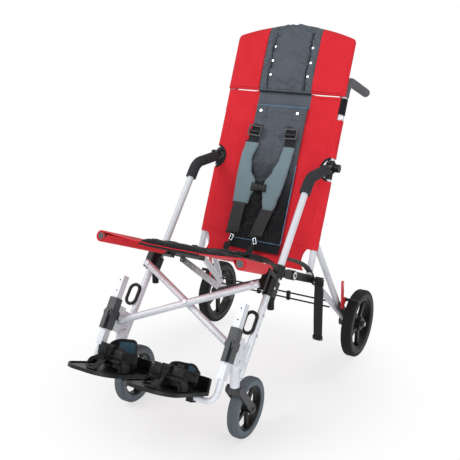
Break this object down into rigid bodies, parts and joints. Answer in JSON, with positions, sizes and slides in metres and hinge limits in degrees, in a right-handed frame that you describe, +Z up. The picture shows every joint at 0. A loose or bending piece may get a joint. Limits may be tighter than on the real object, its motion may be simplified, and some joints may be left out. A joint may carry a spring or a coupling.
{
  "type": "special needs buggy",
  "caption": "Folding special needs buggy with a tilted sling seat, high back with head panel, harness, armrests, push handles, swivel casters, braked rear wheels and footrests.",
  "frame": {"origin": "centre of the bounding box's footprint, on the ground", "axes": "+Z up, the rider faces -Y, +X to the rider's left"},
  "size_m": [0.662, 1.2453, 1.1848],
  "materials": {
    "white_enamel": "satin",
    "bare_aluminium": "brushed",
    "dark_steel": "satin",
    "red_enamel": "gloss",
    "grip_foam": "matte",
    "black_plastic": "matte",
    "black_rubber": "matte",
    "grey_rubber": "matte",
    "red_nylon": "woven",
    "grey_nylon": "woven",
    "slate_neoprene": "knit",
    "black_webbing": "woven"
  },
  "bodies": {
    "right_frame": {"right_leg_tube": "white_enamel", "right_arm_tube": "white_enamel", "right_arm_pad": "grip_foam", "right_back_tube": "white_enamel", "right_push_grip": "grip_foam", "right_leg_clamp": "black_plastic", "right_elbow": "black_plastic", "right_rear_legs": "white_enamel", "right_axle_hanger": "dark_steel", "right_tie_ring": "black_plastic", "right_arm_clamp": "black_plastic", "back_sling": "red_nylon", "back_pad": "grey_nylon", "head_panel": "red_nylon", "harness": "slate_neoprene", "brake_cable": "black_plastic"},
    "right_runner": {"right_seat_tube": "bare_aluminium", "right_knuckle": "black_plastic", "seat_sling": "red_nylon", "lap_belt": "black_webbing"},
    "right_lock": {"right_lock_link": "bare_aluminium"},
    "right_rest": {"right_rest_sleeve": "black_plastic"},
    "right_rest_slide": {"right_rest_tube": "white_enamel"},
    "right_plate": {"right_footplate": "black_plastic", "right_foot_strap": "black_webbing"},
    "right_caster": {"right_caster_fork": "dark_steel"},
    "right_caster_wheel": {"right_caster_tyre": "grey_rubber", "right_caster_hub": "black_plastic"},
    "right_rear_wheel": {"right_rear_tyre": "black_rubber", "right_rear_hub": "black_plastic"},
    "right_brake": {"right_brake_lever": "red_enamel"},
    "right_knob": {"right_arm_knob": "black_plastic"},
    "left_frame": {"left_leg_tube": "white_enamel", "left_arm_tube": "white_enamel", "left_arm_pad": "grip_foam", "left_back_tube": "white_enamel", "left_push_grip": "grip_foam", "left_leg_clamp": "black_plastic", "left_elbow": "black_plastic", "left_rear_legs": "white_enamel", "left_axle_hanger": "dark_steel", "left_tie_ring": "black_plastic", "left_arm_clamp": "black_plastic", "tether_strap": "black_webbing"},
    "left_runner": {"left_seat_tube": "bare_aluminium", "left_knuckle": "black_plastic"},
    "left_lock": {"left_lock_link": "dark_steel"},
    "left_rest": {"left_rest_sleeve": "black_plastic"},
    "left_rest_slide": {"left_rest_tube": "white_enamel"},
    "left_plate": {"left_footplate": "black_plastic", "left_foot_strap": "black_webbing"},
    "left_caster": {"left_caster_fork": "dark_steel"},
    "left_caster_wheel": {"left_caster_tyre": "grey_rubber", "left_caster_hub": "black_plastic"},
    "left_rear_wheel": {"left_rear_tyre": "black_rubber", "left_rear_hub": "black_plastic"},
    "left_brake": {"left_brake_lever": "red_enamel"},
    "left_knob": {"left_arm_knob": "black_plastic"},
    "brace_a": {"brace_a": "white_enamel"},
    "brace_b": {"brace_b": "white_enamel"}
  },
  "joints": [
    {"name": "width_fold", "type": "slide", "parent": "right_frame", "child": "left_frame", "axis": [-1, 0, 0], "range_m": [0, 0.22], "deforming": ["seat_sling", "lap_belt", "back_sling", "back_pad", "head_panel", "harness", "brake_cable"]},
    {"name": "brace_a_turn", "type": "hinge", "parent": "left_frame", "child": "brace_a", "pos_m": [0.198, -0.29842, 0.30153], "axis": [0, 0.766, -0.6428], "range_deg": [0, 40]},
    {"name": "brace_b_turn", "type": "hinge", "parent": "right_frame", "child": "brace_b", "pos_m": [-0.198, -0.31681, 0.31695], "axis": [0, -0.766, 0.6428], "range_deg": [0, 40]},
    {"name": "right_lift", "type": "slide", "parent": "right_frame", "child": "right_runner", "axis": [0, 0.6428, 0.766], "range_m": [0, 0.2131]},
    {"name": "right_lock_turn", "type": "hinge", "parent": "right_runner", "child": "right_lock", "pos_m": [-0.17906, -0.01067, 0.42421], "axis": [0, 0.9178, -0.3971], "range_deg": [0, 50]},
    {"name": "right_rest_swing", "type": "hinge", "parent": "right_frame", "child": "right_rest", "pos_m": [-0.217, -0.3243, 0.3295], "axis": [0, -0.5878, -0.809], "range_deg": [0, 91]},
    {"name": "right_rest_height", "type": "slide", "parent": "right_rest", "child": "right_rest_slide", "axis": [0, 0.5878, 0.809], "range_m": [-0.045, 0.02]},
    {"name": "right_plate_angle", "type": "hinge", "parent": "right_rest_slide", "child": "right_plate", "pos_m": [-0.101, -0.44651, 0.21063], "axis": [-1, 0, 0], "range_deg": [0, 50]},
    {"name": "right_caster_swivel", "type": "hinge", "parent": "right_frame", "child": "right_caster", "pos_m": [-0.21, -0.32037, 0.22], "axis": [0, 0, 1], "continuous": true},
    {"name": "right_caster_spin", "type": "hinge", "parent": "right_caster", "child": "right_caster_wheel", "pos_m": [-0.21, -0.25037, 0.095], "axis": [1, 0, 0], "continuous": true},
    {"name": "right_rear_spin", "type": "hinge", "parent": "right_frame", "child": "right_rear_wheel", "pos_m": [-0.303, 0.42963, 0.125], "axis": [1, 0, 0], "continuous": true},
    {"name": "right_brake_turn", "type": "hinge", "parent": "right_frame", "child": "right_brake", "pos_m": [-0.272, 0.33563, 0.219], "axis": [-1, 0, 0], "range_deg": [-20, 8.5]},
    {"name": "right_knob_turn", "type": "hinge", "parent": "right_frame", "child": "right_knob", "pos_m": [-0.24, 0.31389, 0.72688], "axis": [1, 0, 0], "continuous": true},
    {"name": "left_lift", "type": "slide", "parent": "left_frame", "child": "left_runner", "axis": [0, 0.6428, 0.766], "range_m": [0, 0.2131]},
    {"name": "left_lock_turn", "type": "hinge", "parent": "left_runner", "child": "left_lock", "pos_m": [0.17906, -0.01067, 0.42421], "axis": [0, -0.9178, 0.3971], "range_deg": [0, 50]},
    {"name": "left_rest_swing", "type": "hinge", "parent": "left_frame", "child": "left_rest", "pos_m": [0.217, -0.3243, 0.3295], "axis": [0, 0.5878, 0.809], "range_deg": [0, 91]},
    {"name": "left_rest_height", "type": "slide", "parent": "left_rest", "child": "left_rest_slide", "axis": [0, 0.5878, 0.809], "range_m": [-0.045, 0.02]},
    {"name": "left_plate_angle", "type": "hinge", "parent": "left_rest_slide", "child": "left_plate", "pos_m": [0.101, -0.44651, 0.21063], "axis": [-1, 0, 0], "range_deg": [0, 50]},
    {"name": "left_caster_swivel", "type": "hinge", "parent": "left_frame", "child": "left_caster", "pos_m": [0.21, -0.32037, 0.22], "axis": [0, 0, 1], "continuous": true},
    {"name": "left_caster_spin", "type": "hinge", "parent": "left_caster", "child": "left_caster_wheel", "pos_m": [0.21, -0.25037, 0.095], "axis": [1, 0, 0], "continuous": true},
    {"name": "left_rear_spin", "type": "hinge", "parent": "left_frame", "child": "left_rear_wheel", "pos_m": [0.303, 0.42963, 0.125], "axis": [1, 0, 0], "continuous": true},
    {"name": "left_brake_turn", "type": "hinge", "parent": "left_frame", "child": "left_brake", "pos_m": [0.272, 0.33563, 0.219], "axis": [-1, 0, 0], "range_deg": [-20, 8.5]},
    {"name": "left_knob_turn", "type": "hinge", "parent": "left_frame", "child": "left_knob", "pos_m": [0.24, 0.31389, 0.72688], "axis": [1, 0, 0], "continuous": true}
  ],
  "couplings": [
    {"joint": "brace_a_turn", "follows": "width_fold", "rad_per_m": 3.0762},
    {"joint": "brace_b_turn", "follows": "width_fold", "rad_per_m": 3.0762},
    {"joint": "right_lift", "follows": "width_fold", "ratio": 0.95977},
    {"joint": "right_lock_turn", "follows": "width_fold", "rad_per_m": 3.7388},
    {"joint": "right_rest_swing", "follows": "width_fold", "rad_per_m": 7.14},
    {"joint": "left_lift", "follows": "width_fold", "ratio": 0.95977},
    {"joint": "left_lock_turn", "follows": "width_fold", "rad_per_m": 3.7388},
    {"joint": "left_rest_swing", "follows": "width_fold", "rad_per_m": 7.14}
  ]
}
